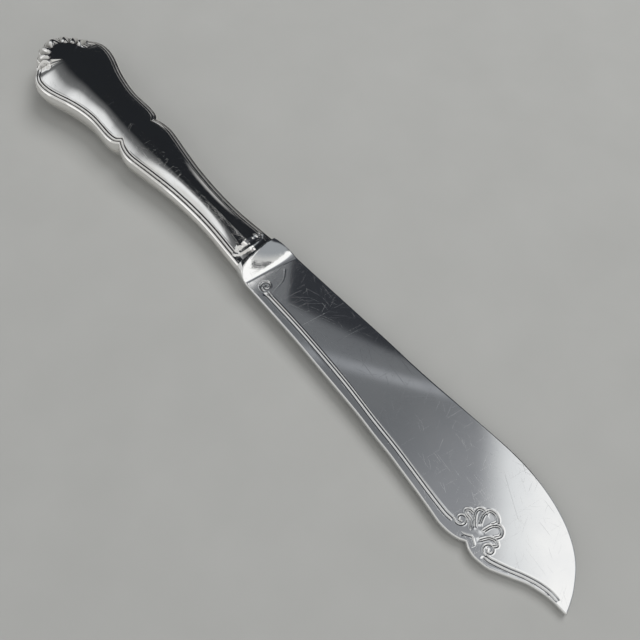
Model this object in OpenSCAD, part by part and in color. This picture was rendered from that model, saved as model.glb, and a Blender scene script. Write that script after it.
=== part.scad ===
// Fish knife with a hollow handle, lying on a table with its engraved face up.
// +X runs from the butt to the tip of the blade, +Y to the curved edge, +Z up.
// The knife is drawn straight, with its middle plane at z = 0 and its butt at x = 0.
// Then it is laid down on the handle's belly, the bolster's collar and the front of the blade.

/* [Overall] */
// length from the butt to the tip of the blade
overall_l = 200; // [185:5:230]
// length of the handle, from the butt to the bolster
handle_l = 92.4; // [84:0.4:100]
// width of the handle over its border reeds, at the widest
handle_w = 21.6; // [19:0.4:25]
// thickness of the handle at its fullest
handle_t = 11; // [10:0.5:13]
// width of the blade at its widest, from the back to the curved edge
blade_w = 23.7; // [20:0.3:28]
// thickness of the blade
blade_t = 1.8; // [1.4:0.1:2.4]

/* [Handle] */
// thickness of the die-struck metal of the two handle halves
wall_t = 0.6; // [0.4:0.05:0.8]
// how far the side wall leans out between the border reed and the seam
side_flare = 1.1; // [0.5:0.05:1.3]
// width of the border reed with its two grooves
reed_w = 1.3; // [1:0.1:1.6]
// height of the border reed above the top of the side wall
reed_h = 0.4; // [0.2:0.05:0.6]
// length of the shell's ribs, from the butt inwards
shell_l = 4.6; // [3.6:0.2:5.6]
// height of the shell's ribs
shell_h = 1; // [0.6:0.1:1.3]
// thickness of the solder in the seam between the two halves
seam_t = 0.2; // [0.1:0.05:0.4]

/* [Blade] */
// width of the bolster where it meets the handle
bolster_w = 12.4; // [10.8:0.2:13]
// thickness of the bolster
bolster_t = 7.1; // [5.6:0.1:7.4]
// length of the bolster's plain collar
collar_l = 1.3; // [0.8:0.1:2]
// length of the bolster's sloping shoulder
shoulder_l = 4.2; // [3:0.2:6]
// turn of the shoulder's foot line across the blade, in degrees
foot_turn = 8.3; // [0:0.1:12]
// length of the tang inside the handle
tang_l = 46; // [30:2:60]
// width of the tang
tang_w = 5; // [3.5:0.5:5.5]
// thickness of the tang
tang_t = 3.2; // [2:0.2:4]

/* [Engraving] */
// width of an engraved line
line_w = 0.4; // [0.25:0.05:0.5]
// distance between the two lines of the border
line_gap = 0.75; // [0.65:0.05:0.9]
// depth of the engraved lines
line_depth = 0.2; // [0.1:0.05:0.3]
// outer radius of the three small scrolls
scroll_r = 1.5; // [1.2:0.1:1.6]

/* [Clearances] */
// clearance between the handle's wall and its filling
fill_gap = 0.1; // [0.05:0.05:0.2]
// clearance between the tang and the filling
tang_gap = 0.05; // [0.02:0.01:0.1]

/* [Hidden] */
blade_l = overall_l - handle_l;
half_w = handle_w / 2;
half_t = handle_t / 2;
// how far each cut runs on past the face that it opens
overrun = seam_t;

// One side of the handle's outline along the reed, from the middle of the butt to the bolster.
// Each row holds the share of the handle's length, the share of its half width, and the rise
// of the shell's rib there: 0 is a valley, 1 a crest, and -1 a place on the plain reed.
side_shares = [
    [0.001, 0, 1], [0.003, 0.093, 0.9], [0.006, 0.157, 0.5], [0.014, 0.204, 0],
    [0.012, 0.269, 0.6], [0.017, 0.361, 1], [0.028, 0.426, 0.7], [0.038, 0.435, 0],
    [0.038, 0.491, 0.6], [0.045, 0.565, 1], [0.056, 0.593, 0.7], [0.065, 0.593, 0],
    [0.066, 0.648, 0.7], [0.074, 0.713, 0.9], [0.082, 0.769, -1], [0.091, 0.843, -1],
    [0.101, 0.917, -1], [0.109, 0.955, -1], [0.119, 0.984, -1], [0.135, 1, -1],
    [0.152, 0.996, -1], [0.17, 0.974, -1], [0.188, 0.938, -1], [0.207, 0.889, -1],
    [0.225, 0.839, -1], [0.245, 0.788, -1], [0.277, 0.722, -1], [0.313, 0.667, -1],
    [0.347, 0.641, -1], [0.383, 0.647, -1], [0.419, 0.657, -1], [0.444, 0.634, -1],
    [0.457, 0.586, -1], [0.465, 0.532, -1], [0.48, 0.585, -1], [0.501, 0.625, -1],
    [0.525, 0.634, -1], [0.56, 0.597, -1], [0.595, 0.548, -1], [0.631, 0.503, -1],
    [0.666, 0.462, -1], [0.701, 0.43, -1], [0.737, 0.407, -1], [0.772, 0.392, -1],
    [0.807, 0.384, -1], [0.842, 0.386, -1], [0.878, 0.398, -1], [0.913, 0.421, -1],
    [0.94, 0.442, -1], [0.965, 0.456, -1], [0.975, 0.46, -1], [1, 0.467, -1]
];
// Where the reeds and the raised panel between them end, short of the bolster.
panel_end_share = 0.97;
// Height of the handle along its middle, as shares of its length and of its half thickness.
crown_shares = [
    [0, 0.8], [0.05, 0.91], [0.12, 0.98], [0.2, 1], [0.35, 0.93], [0.5, 0.85],
    [0.65, 0.76], [0.8, 0.68], [0.9, 0.64], [1, 0.625]
];
// Height of the side wall's top as a share of the height along the middle.
wall_share = 0.55;
// The rows of a handle half from the seam up to the reed: share of the flare left, share of the wall.
wall_shares = [[1, 0], [0.93, 0.35], [0.6, 0.72], [0.13, 0.96]];
// The rows over the reed: share of the reed's width, share of its height.
reed_shares = [[0.04, -0.3], [0.25, 0.8], [0.47, 1], [0.7, 0.5], [0.82, -0.1], [1, 0.7]];
// Height of the dome where the middle rib and the last rib of the shell end, and the valleys' depth.
rib_foot_shares = [0.76, 0.58];
valley_share = 0.4;
// The rows over the smooth middle, as shares of the way from the reed to the middle line.
crown_steps = [0.12, 0.3, 0.55, 0.78, 1];
// The hollow's corner under the reed: how far in it lies, and how far down, as shares of the reed's
// width and of the wall; and the height of the hollow's side where it turns in, as a share of that.
corner_in_share = 0.1;
corner_down_share = 0.75;
side_top_share = 0.93;
quarter_turn = 90;
half_turn = 180;

mid = len(side_shares) - 1;
columns = 2 * mid + 1;
walls = len(wall_shares);
reeds = len(reed_shares);
rows = walls + reeds + len(crown_steps);
layer = columns * (rows - 1) + mid + 1;
// the place on the outline where the handle is widest; the butt's columns all run to its middle
widest = [for (i = [0:mid]) if (side_shares[i][1] == 1) i][0];
// the first place on the outline that lies on the plain reed
ribs_end = [for (i = [0:mid]) if (side_shares[i][2] < 0) i][0];

function blend(a, b, f) = a + (b - a) * f;
function unit(v) = v / norm(v);
function crown(x) = half_t * lookup(x / handle_l, crown_shares);
function wall_top(x) = wall_share * crown(x);
// place of column c: the outline point, the point on the middle line, and the way inwards
function place(c) = abs(c - mid);
function side(c) = c < mid ? 1 : -1;
function edge(c) = let (s = side_shares[place(c)]) [s[0] * handle_l, side(c) * s[1] * half_w];
function core(c) = [side_shares[max(place(c), widest)][0] * handle_l, 0];
function inward(c) = unit(core(c) - edge(c));
function rib(c) = side_shares[place(c)][2];
// 1 on the raised panel and its reeds, 0 on the plain neck beyond them
function raised(c) = side_shares[place(c)][0] < panel_end_share ? 1 : 0;
// how far column c lies round the butt, from 0 at its middle to 1 where the plain reed begins
function turn_of(p) = atan2(p[1], core(mid)[0] - p[0]);
function round_butt(c) = abs(turn_of(edge(c)) / turn_of(edge(mid - ribs_end)));
// length of the shell's rib in column c; all the ribs end on one arc round the middle line's start
function rib_l(c) = norm(edge(c) - core(c)) - core(mid)[0] + shell_l;
function point(c, d, z) = let (p = edge(c) + inward(c) * d) [p[0], p[1], z];

// height over the smooth middle, from z at its border to the crown
function dome(z, top, f) = z + (top - z) * sin(quarter_turn * f);

// one point of the outside of a handle half
function outer(c, k) =
    let (x = edge(c)[0], w = wall_top(x), up = reed_h * raised(c),
        top = crown(core(c)[0]) - reed_h + up,
        ribbed = rib(c) >= 0,
        inner_d = ribbed ? rib_l(c) : reed_w,
        inner_z = ribbed ? top * blend(rib_foot_shares[0], rib_foot_shares[1], round_butt(c)) :
            w + up * reed_shares[reeds - 1][1])
    k < walls ?
        point(c, -side_flare * wall_shares[k][0], seam_t / 2 + (w - seam_t / 2) * wall_shares[k][1]) :
    k < walls + reeds ?
        (ribbed ?
            let (q = (k - walls + 1) / reeds)
            point(c, inner_d * q, blend(w, inner_z, q) + shell_h * (rib(c) - valley_share) * sin(half_turn * q)) :
            let (r = reed_shares[k - walls])
            point(c, reed_w * r[0], w + up * r[1])) :
    let (f = crown_steps[k - walls - reeds],
        a = edge(c) + inward(c) * inner_d,
        p = blend(a, core(c), f))
    [p[0], p[1], dome(inner_z, top, f)];

// one point of the hollow, inset from the outside by the given depth; low is its lowest height
function hollow(c, k, inset, low) =
    let (x = edge(c)[0], w = wall_top(x), top = crown(core(c)[0]) - inset - reed_h * (1 - raised(c)),
        first = inset - side_flare,
        second = inset + reed_w * corner_in_share,
        last = reed_w + inset / 2,
        second_z = w - inset * corner_down_share,
        last_z = w - inset / 2)
    k < walls ?
        let (d = blend(first, second, k / walls / 2))
        point(c, d, blend(low, second_z * side_top_share, sin(quarter_turn * k / (walls - 1)))) :
    k < walls + reeds ?
        let (q = (k - walls) / (reeds - 1))
        point(c, blend(second, last, q), blend(second_z, last_z, q)) :
    let (f = crown_steps[k - walls - reeds],
        a = edge(c) + inward(c) * last,
        p = blend(a, core(c), f))
    [p[0], p[1], dome(last_z, top, f)];

// place of a point in the lists: the middle line's points are shared by both sides
function spot(c, k) =
    k < rows - 1 ? c * (rows - 1) + k : columns * (rows - 1) + max(place(c), widest);

// the two triangles of a four-sided face, without those whose corners coincide
function quad(a, b, c, d) =
    [for (t = [[a, c, b], [a, d, c]]) if (t[0] != t[1] && t[1] != t[2] && t[0] != t[2]) t];

function skin(base, flip) = [
    for (c = [0:columns - 2], k = [0:rows - 2])
        let (q = [spot(c, k), spot(c + 1, k), spot(c + 1, k + 1), spot(c, k + 1)])
        for (t = quad(q[0], q[1], q[2], q[3]))
            flip ? [base + t[0], base + t[2], base + t[1]] : [base + t[0], base + t[1], base + t[2]]
];

module handle_half() {
    outside = [for (c = [0:columns - 1], k = [0:rows - 2]) outer(c, k)];
    outside_mid = [for (i = [0:mid]) outer(mid - i, rows - 1)];
    inside = [for (c = [0:columns - 1], k = [0:rows - 2]) hollow(c, k, wall_t, seam_t / 2)];
    inside_mid = [for (i = [0:mid]) hollow(mid - i, rows - 1, wall_t, seam_t / 2)];
    rim = [
        for (c = [0:columns - 2])
            each quad(spot(c + 1, 0), spot(c, 0), layer + spot(c, 0), layer + spot(c + 1, 0))
    ];
    mouth = [
        for (k = [0:rows - 2]) each concat(
            quad(spot(0, k), spot(0, k + 1), layer + spot(0, k + 1), layer + spot(0, k)),
            quad(spot(columns - 1, k + 1), spot(columns - 1, k),
                layer + spot(columns - 1, k), layer + spot(columns - 1, k + 1)))
    ];
    polyhedron(
        points = concat(outside, outside_mid, inside, inside_mid),
        faces = concat(skin(0, false), skin(layer, true), rim, mouth)
    );
}

module filling_solid() {
    inset = wall_t + fill_gap;
    above = concat(
        [for (c = [0:columns - 1], k = [0:rows - 2]) hollow(c, k, inset, 0)],
        [for (i = [0:mid]) hollow(mid - i, rows - 1, inset, 0)]
    );
    below = [for (p = above) [p[0], p[1], -p[2]]];
    // the lowest row lies in the middle plane and is shared, so the lower list points to the upper one
    function on_plane(i) = i < columns * (rows - 1) && i % (rows - 1) == 0;
    under = [for (t = skin(0, true)) [for (i = t) on_plane(i) ? i : layer + i]];
    function low(c, k) = k == 0 ? spot(c, 0) : layer + spot(c, k);
    mouth = [
        for (k = [0:rows - 2]) each concat(
            quad(spot(0, k), spot(0, k + 1), low(0, k + 1), low(0, k)),
            quad(spot(columns - 1, k + 1), spot(columns - 1, k),
                low(columns - 1, k), low(columns - 1, k + 1)))
    ];
    polyhedron(points = concat(above, below), faces = concat(skin(0, false), under, mouth));
}

// The blade's outline as shares of the blade's length and of its width: from the bolster's collar
// along the curved edge to the tip, from there to the cusp in the back, and on to the collar.
edge_shares = [
    [0.006, 0.256], [0.022, 0.286], [0.042, 0.304], [0.117, 0.316], [0.201, 0.333], [0.283, 0.35],
    [0.362, 0.366], [0.433, 0.377], [0.489, 0.389], [0.554, 0.409], [0.622, 0.431], [0.689, 0.45],
    [0.722, 0.456], [0.757, 0.452], [0.794, 0.435], [0.828, 0.405], [0.861, 0.363], [0.891, 0.308],
    [0.918, 0.241], [0.94, 0.169], [0.956, 0.093], [0.97, 0.008], [0.983, -0.084], [0.993, -0.173],
    [0.999, -0.245], [1, -0.274]
];
tip_shares = [
    [0.994, -0.284], [0.98, -0.283], [0.963, -0.286], [0.941, -0.302], [0.914, -0.342],
    [0.887, -0.405], [0.86, -0.467], [0.842, -0.506], [0.822, -0.525], [0.806, -0.527],
    [0.79, -0.511], [0.779, -0.484]
];
back_shares = [
    [0.777, -0.48], [0.774, -0.488], [0.762, -0.519], [0.742, -0.54], [0.717, -0.544],
    [0.691, -0.529], [0.66, -0.506], [0.625, -0.485], [0.588, -0.464], [0.551, -0.443],
    [0.498, -0.421], [0.454, -0.402], [0.408, -0.385], [0.363, -0.37], [0.319, -0.357],
    [0.275, -0.345], [0.23, -0.334], [0.184, -0.325], [0.137, -0.317], [0.092, -0.311],
    [0.042, -0.304], [0.022, -0.286], [0.006, -0.256]
];
// The double border line along the back, and the one beyond the shell along the tip.
back_line_shares = [
    [0.1, -0.21], [0.15, -0.215], [0.2, -0.223], [0.29, -0.244], [0.38, -0.275], [0.474, -0.312],
    [0.545, -0.345], [0.598, -0.376], [0.649, -0.406], [0.689, -0.427], [0.713, -0.434],
    [0.728, -0.43]
];
tip_line_shares = [
    [0.822, -0.447], [0.833, -0.443], [0.846, -0.42], [0.87, -0.377], [0.895, -0.322],
    [0.924, -0.268], [0.949, -0.245], [0.969, -0.243]
];
// The five lobes of the engraved shell, and the two short strokes under it.
lobe_shares = [
    [[0.764, -0.368], [0.753, -0.315], [0.742, -0.306], [0.734, -0.291], [0.733, -0.266],
        [0.739, -0.24], [0.748, -0.236]],
    [[0.768, -0.332], [0.755, -0.27], [0.748, -0.215], [0.75, -0.17], [0.76, -0.147], [0.769, -0.16]],
    [[0.77, -0.275], [0.764, -0.207], [0.763, -0.15], [0.769, -0.105], [0.78, -0.092],
        [0.79, -0.108], [0.796, -0.143], [0.792, -0.194]],
    [[0.785, -0.286], [0.789, -0.211], [0.797, -0.16], [0.806, -0.148], [0.814, -0.168],
        [0.818, -0.216], [0.813, -0.262]],
    [[0.794, -0.367], [0.802, -0.3], [0.813, -0.272], [0.821, -0.274], [0.826, -0.3], [0.822, -0.333]],
    [[0.766, -0.446], [0.78, -0.411]],
    [[0.7815, -0.417], [0.793, -0.449]]
];
// The scrolls: the middle as shares of the blade, the angle at which the line begins, and its turn.
scroll_shares = [
    [0.08, -0.159, -60, -450],
    [0.741, -0.368, -130, 430],
    [0.82, -0.378, -75, -430]
];
scroll_steps = 22;
scroll_close_share = 0.66;
// The points that a smooth curve adds from each point of its path to the next, as shares of the way.
curve_steps = [0, 0.5];
// The shoulder's curve: share of its length, share of its height over the blade's face.
shoulder_shares = [[0, 1], [0.25, 0.88], [0.5, 0.69], [0.75, 0.4], [1, 0]];
root_share = 0.304;
bolster_facets = 96;
tang_end_share = 0.6;

face_z = blade_t / 2;
root_w = 2 * root_share * blade_w;
foot_x = collar_l + shoulder_l;
foot_over = foot_x + root_w / 2 * tan(foot_turn);

function on_blade(p) = [handle_l + p[0] * blade_l, p[1] * blade_w];
// a place on the smooth curve through a, b, c and d, from b to c as q goes from 0 to 1
function eased(a, b, c, d, q) =
    (2 * b + (c - a) * q + (2 * a - 5 * b + 4 * c - d) * q * q + (3 * b - a - 3 * c + d) * q * q * q) / 2;
function smooth(path) = let (last = len(path) - 1) [
    for (i = [0:last - 1], q = curve_steps)
        eased(path[max(i - 1, 0)], path[i], path[i + 1], path[min(i + 2, last)], q),
    path[last]
];
function drawn(shares) = smooth([for (p = shares) on_blade(p)]);
function along(path, i) = unit(path[min(i + 1, len(path) - 1)] - path[max(i - 1, 0)]);
function left_of(path, i) = let (a = along(path, i)) [-a[1], a[0]];
function beside(path, d) = [for (i = [0:len(path) - 1]) path[i] + left_of(path, i) * d];
function reverse(path) = [for (i = [len(path) - 1:-1:0]) path[i]];
function scroll(s) = [
    for (i = [0:scroll_steps])
        let (q = i / scroll_steps, a = s[2] + s[3] * q)
        on_blade([s[0], s[1]]) + scroll_r * (1 - scroll_close_share * q) * [cos(a), sin(a)]
];

module engraved(path) {
    translate([0, 0, face_z - line_depth])
        linear_extrude(height = line_depth + overrun)
            polygon(concat(beside(path, line_w / 2), reverse(beside(path, -line_w / 2))));
}

module plate() {
    difference() {
        linear_extrude(height = blade_t, center = true)
            polygon(concat(drawn(edge_shares), drawn(tip_shares), drawn(back_shares)));
        for (shares = [back_line_shares, tip_line_shares], d = [-line_gap / 2, line_gap / 2])
            engraved(beside(drawn(shares), d));
        for (shares = lobe_shares)
            engraved(drawn(shares));
        for (s = scroll_shares)
            engraved(scroll(s));
    }
}

module bolster() {
    rise = bolster_t / 2 - face_z;
    upper = concat(
        [[-foot_x, bolster_t / 2]],
        [for (s = shoulder_shares) [collar_l + s[0] * shoulder_l, face_z + s[1] * rise]],
        [[foot_x + face_z, 0]]
    );
    translate([handle_l, 0, 0]) intersection() {
        scale([1, 1, bolster_t / bolster_w])
            rotate([0, 90, 0])
                cylinder(h = foot_over, d1 = bolster_w, d2 = root_w, $fn = bolster_facets);
        rotate([90, 0, -foot_turn])
            linear_extrude(height = 2 * blade_w, center = true)
                polygon(concat(upper, reverse([for (p = upper) if (p[1] > 0) [p[0], -p[1]]])));
    }
}

module tang_bar(room, front) {
    end = tang_end_share * tang_w / 2 + room;
    root = tang_w / 2 + room;
    linear_extrude(height = tang_t + 2 * room, center = true)
        polygon([
            [handle_l - tang_l - room, -end], [handle_l + front, -root],
            [handle_l + front, root], [handle_l - tang_l - room, end]
        ]);
}

// How the knife lies: on the belly of its handle, on a point of the blade's slanting front, and on
// the bolster's collar, which the lean brings down beside the line from the one to the other.
belly_share = 0.2;
touch_share = [0.993, -0.173];
front_slant_share = 0.44;
belly_x = belly_share * handle_l;
touch = on_blade(touch_share);
// where the slanting front, drawn on through that point, crosses the knife's middle line
front_x = touch[0] + front_slant_share * touch[1];
dip = atan((half_t - face_z) / (front_x - belly_x));
lean = atan(front_slant_share * tan(dip));
lift = belly_x * sin(dip) + half_t * cos(lean) * cos(dip);
back_reach = -min([for (p = back_shares) p[1]]) * blade_w;

module laid_down() {
    translate([-overall_l / 2, (back_reach - half_w - side_flare) / 2, lift])
        rotate([-lean, dip, 0])
            children();
}

module handle_front() {
    color([0.8, 0.8, 0.79])
        laid_down() handle_half();
}

module handle_back() {
    color([0.78, 0.78, 0.77])
        laid_down() mirror([0, 0, 1]) handle_half();
}

module seam_solder() {
    color([0.7, 0.7, 0.68])
        laid_down()
            linear_extrude(height = seam_t, center = true)
                polygon(concat(
                    [for (c = [0:columns - 1]) edge(c) - inward(c) * side_flare],
                    [for (c = [columns - 1:-1:0]) edge(c) + inward(c) * (wall_t - side_flare)]
                ));
}

module handle_filling() {
    color([0.45, 0.33, 0.22])
        laid_down() difference() {
            filling_solid();
            tang_bar(tang_gap, overrun);
        }
}

module blade() {
    color([0.72, 0.73, 0.74])
        laid_down() union() {
            plate();
            bolster();
            tang_bar(0, collar_l / 2);
        }
}

handle_front();
handle_back();
seam_solder();
handle_filling();
blade();
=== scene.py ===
"""Fish knife with a hollow silver handle, lying on a pale floor with its engraved face up."""
import math

import bmesh
import bpy
import numpy as np
from mathutils import Matrix, Vector
from mathutils.geometry import delaunay_2d_cdt
from mathutils.kdtree import KDTree


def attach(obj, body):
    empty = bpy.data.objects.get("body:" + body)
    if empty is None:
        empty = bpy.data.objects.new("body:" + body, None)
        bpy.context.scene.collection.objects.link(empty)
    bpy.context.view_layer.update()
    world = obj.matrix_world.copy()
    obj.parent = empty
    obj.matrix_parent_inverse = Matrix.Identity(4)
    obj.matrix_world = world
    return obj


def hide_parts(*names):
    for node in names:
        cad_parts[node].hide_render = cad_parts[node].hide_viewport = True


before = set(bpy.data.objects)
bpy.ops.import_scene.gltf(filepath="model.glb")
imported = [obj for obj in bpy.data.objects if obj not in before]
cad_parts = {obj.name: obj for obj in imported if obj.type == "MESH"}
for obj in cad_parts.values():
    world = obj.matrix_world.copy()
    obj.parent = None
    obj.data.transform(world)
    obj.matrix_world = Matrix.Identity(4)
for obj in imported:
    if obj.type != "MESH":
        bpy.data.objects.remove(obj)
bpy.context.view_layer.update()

# The knife is drawn straight, in millimetres: x from the butt to the tip, y to the curved edge,
# z up from the middle plane. laid_down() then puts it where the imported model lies, in metres.
MM = 0.001
OVERALL_L = 200
HANDLE_L = 92.4
HALF_W = 10.8
HALF_T = 5.5
BLADE_L = OVERALL_L - HANDLE_L
BLADE_W = 23.7
FACE_Z = 0.9
SIDE_FLARE = 1.1
WALL_T = 0.6
SEAM_T = 0.2
# how far the solder's edge lies behind the rims of the two halves
SEAM_SET_IN = 0.02

# How the knife lies: on the belly of its handle and on a point of the blade's slanting front. The
# places of both are shares of the lengths and the width, and so is the reach of the blade's back.
BELLY_SHARE = 0.2
TOUCH_SHARE = (0.993, -0.173)
FRONT_SLANT = 0.44
BACK_SHARE = 0.544
BELLY_X = BELLY_SHARE * HANDLE_L
FRONT_X = HANDLE_L + TOUCH_SHARE[0] * BLADE_L + FRONT_SLANT * TOUCH_SHARE[1] * BLADE_W
BACK_REACH = BACK_SHARE * BLADE_W
DIP = math.atan((HALF_T - FACE_Z) / (FRONT_X - BELLY_X))
LEAN = math.atan(FRONT_SLANT * math.tan(DIP))
LIFT = BELLY_X * math.sin(DIP) + HALF_T * math.cos(LEAN) * math.cos(DIP)
LIE = (
    Matrix.Translation((-OVERALL_L / 2, (BACK_REACH - HALF_W - SIDE_FLARE) / 2, LIFT))
    @ Matrix.Rotation(DIP, 4, "Y")
    @ Matrix.Rotation(-LEAN, 4, "X")
)
# folds sharper than this stay sharp in the shading
SHARP = math.radians(50)
# points closer than this, in metres, are joined
WELD = 2e-6
# the least squared length of a step, so that a path may have two points in one place
LEAST_STEP = 1e-12


def laid_down(points):
    """Points of the straight knife, in millimetres, as places in the frame, in metres."""
    turn = np.array(LIE.to_3x3())
    return (np.asarray(points) @ turn.T + np.array(LIE.translation)) * MM


def spline(points, step):
    """A smooth curve through the points, with a point about every step."""
    p = np.asarray(points, float)
    p = np.vstack([2 * p[0] - p[1], p, 2 * p[-1] - p[-2]])
    parts = []
    for a, b, c, d in zip(p[:-3], p[1:-2], p[2:-1], p[3:]):
        count = max(1, round(float(np.linalg.norm((c - b)[:2])) / step))
        q = np.arange(count)[:, None] / count
        bend = (2 * a - 5 * b + 4 * c - d) * q**2 + (3 * b - a - 3 * c + d) * q**3
        parts.append((2 * b + (c - a) * q + bend) / 2)
    return np.vstack(parts + [p[-2:-1]])


def distance(points, path):
    """Distance of each point from a path of straight steps."""
    near = np.full(len(points), np.inf)
    for a, b in zip(path[:-1], path[1:]):
        run = b - a
        q = np.clip((points - a) @ run / max(run @ run, LEAST_STEP), 0, 1)
        off = points - a - q[:, None] * run
        near = np.minimum(near, np.einsum("ij,ij->i", off, off))
    return np.sqrt(near)


def between(table, x):
    """The value at x in a table of two columns, read straight between its rows."""
    rows = np.asarray(table)
    return np.interp(x, rows[:, 0], rows[:, 1])


def eased(low, high, values):
    """0 below low, 1 above high, and a smooth rise between them."""
    q = np.clip((values - low) / (high - low), 0, 1)
    return q * q * (3 - 2 * q)


def rounded(off, half):
    """A half-round rise: 1 in the middle, 0 at the distance half."""
    return np.sqrt(np.clip(1 - (off / half) ** 2, 0, 1))


def dip_at(off, width):
    """A soft narrow dip: 1 in the middle, nearly 0 at twice the width."""
    return np.exp(-((off / width) ** 2))


def lesser(a, b, soft):
    """The smaller of two heights, rounded off where they meet."""
    h = np.clip(0.5 + 0.5 * (b - a) / soft, 0, 1)
    return b + (a - b) * h - soft * h * (1 - h)


def greater(a, b, soft):
    """The greater of two heights, rounded off where they meet."""
    return -lesser(-a, -b, soft)


def solid(name, points, faces, masks, material, node):
    """A piece of the knife from points in millimetres, with its masks as point attributes."""
    mesh = bpy.data.meshes.new(name)
    mesh.from_pydata(laid_down(points).tolist(), [], faces)
    for mask, values in masks.items():
        layer = mesh.attributes.new(mask, "FLOAT", "POINT")
        layer.data.foreach_set("value", np.asarray(values, np.float32))
    shape = bmesh.new()
    shape.from_mesh(mesh)
    bmesh.ops.remove_doubles(shape, verts=shape.verts, dist=WELD)
    bmesh.ops.dissolve_degenerate(shape, edges=shape.edges, dist=WELD)
    bmesh.ops.recalc_face_normals(shape, faces=shape.faces)
    shape.to_mesh(mesh)
    shape.free()
    mesh.shade_smooth()
    mesh.set_sharp_from_angle(angle=SHARP)
    mesh.materials.append(material)
    piece = bpy.data.objects.new(name, mesh)
    bpy.context.scene.collection.objects.link(piece)
    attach(piece, "root")
    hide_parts(node)
    return piece


# The handle's outline, from the middle of the butt along one side to the bolster. The shell's
# lobes are arcs between valleys: where a lobe ends, how far it bulges beyond its chord, and how
# full its arc is.
LOBE_ENDS = [(1.29, -2.2), (1.29, 2.2), (3.5, 4.7), (6, 6.4), (7.58, 8.3)]
LOBE_BULGES = [1.2, 0.9, 0.8, 0.4]
LOBE_ROUND = 0.75
FLANK = [
    (7.58, 8.3), (8.41, 9.1), (9.33, 9.9), (11, 10.63), (12.47, 10.8), (14.04, 10.76),
    (15.7, 10.52), (17.37, 10.13), (19.13, 9.6), (20.79, 9.06), (22.64, 8.51), (25.6, 7.8),
    (28.92, 7.2), (32.06, 6.92), (35.39, 6.99), (38.7, 7.1), (41.03, 6.85), (42.2, 6.33),
    (43, 5.75),
]
STEM = [
    (43, 5.75), (44.35, 6.32), (46.3, 6.75), (48.5, 6.85), (51.7, 6.45), (55, 5.92), (58.3, 5.43),
    (61.5, 4.99), (64.8, 4.64), (68.1, 4.4), (71.3, 4.23), (74.6, 4.15), (77.8, 4.17), (81.1, 4.3),
    (84.4, 4.55), (86.9, 4.77), (89.2, 4.95), (90.1, 5.03), (92.4, 5.22),
]
OUTLINE_STEP = 0.24
# the columns of the handle's face run in to the middle line, those of the head to this place on it
HUB_X = 12.47
# the least sine of the angle between a column and the outline that the reed's width allows for
LEAST_SLANT = 0.75
# height along the middle, and the top of the side wall as a share of it
CROWN = [
    (0, 4.4), (4.62, 5), (11.1, 5.4), (18.48, 5.5), (32.3, 5.12), (46.2, 4.68),
    (60, 4.18), (74, 3.74), (83.2, 3.52), (92.4, 3.44),
]
CROWN_CURVE = spline(CROWN, step=0.1)
WALL_SHARES = [
    (0, 0.66), (6, 0.6), (11, 0.48), (20, 0.5), (28, 0.58), (40, 0.58), (60, 0.55), (80, 0.6),
    (92.4, 0.68),
]
WALL_CURVE = spline(WALL_SHARES, step=0.5)
# the side wall flares out by SIDE_FLARE towards the seam, and FLARE_POWER shapes its round
WALL_ROWS = 12
FLARE_POWER = 1.1
# the reed, from the crease beside the wall over the bead and a fine groove to the dome: distance
# from the outline and height over the rising border, which is BORDER_H higher at its inner side
REED_W = 1.3
REED = [
    (0, 0), (0.06, -0.08), (0.14, -0.13), (0.26, -0.08), (0.42, 0), (0.62, 0.06), (0.76, 0.03),
    (0.88, -0.04), (0.98, -0.09), (1.06, -0.06), (1.16, 0), (1.3, 0),
]
REED_CURVE = spline(REED, step=0.02)
REED_ROWS = [
    0, 0.045, 0.09, 0.14, 0.2, 0.28, 0.38, 0.48, 0.58, 0.66, 0.72, 0.78, 0.84, 0.9, 0.96, 1.02,
    1.1, 1.2, 1.3,
]
DOME_ROWS = 30
BORDER_H = 0.4
# the border starts to rise between these places along the handle, just behind the shell
BORDER_FROM = (7.6, 10.5)
# where the crease and the groove are painted dark, as painted shade with tarnish
CREASE = {"at": 0.14, "wide": 0.19}
GROOVE = {"at": 0.98, "wide": 0.1}
# the panel's side where it runs straight on past the notch, which only the reed follows
BRIDGE = [(35.39, 6.99), (38.7, 7.1), (43, 7.04), (47, 6.92), (48.5, 6.85)]
# the panel and its reeds end here, and the neck beyond them is plain
PANEL_END = (88.7, 89.8)
NECK_DROP = 0.12
# the shell's ribs: their height, the depth of the valleys as a share of it, how far from the hub
# they end in the middle and at the sides, and the powers for where they peak and how full they are
RIB_H = 1.15
RIB_VALLEY = 0.42
RIB_ENDS = (8.1, 5.6)
RIB_PEAK = 0.85
RIB_FULL = 0.5
# the painted shade, with tarnish, between the ribs and at their feet
VALLEY_POWER = 1.5
RIB_SHADE = 0.8
RIB_SHADE_W = 0.3
# behind the ribs the panel starts this share lower than in the middle of the handle's head, and
# this shape gives way to the plain dome between these places along and across the handle
HEAD_DROP = 0.08
HEAD_LONG = (7, 12)
HEAD_SIDE = (6.5, 10.2)
# raised scrollwork on both faces of the handle: path, half width, height
CURL = [(7.6, 7), (7.7, 6.2), (8.3, 5.6), (9.2, 5.5), (9.9, 5.9)]
NECK_BAND = [(89.3, 4.6), (90.3, 3.3), (90.8, 1.5), (90.9, 0)]
NECK_CURL = [(90.2, 3.1), (89.4, 3.2), (88.7, 2.8), (88.7, 2.2), (89.2, 1.9)]
SCROLLWORK = [(CURL, 0.45, 0.3), (NECK_BAND, 0.36, 0.2), (NECK_CURL, 0.28, 0.18)]
# the inside of the wall needs only every sixth row of the face
INSIDE_EVERY = 6


def crown(x):
    """Height of the handle's middle over the seam."""
    return between(CROWN_CURVE, x)


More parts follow.
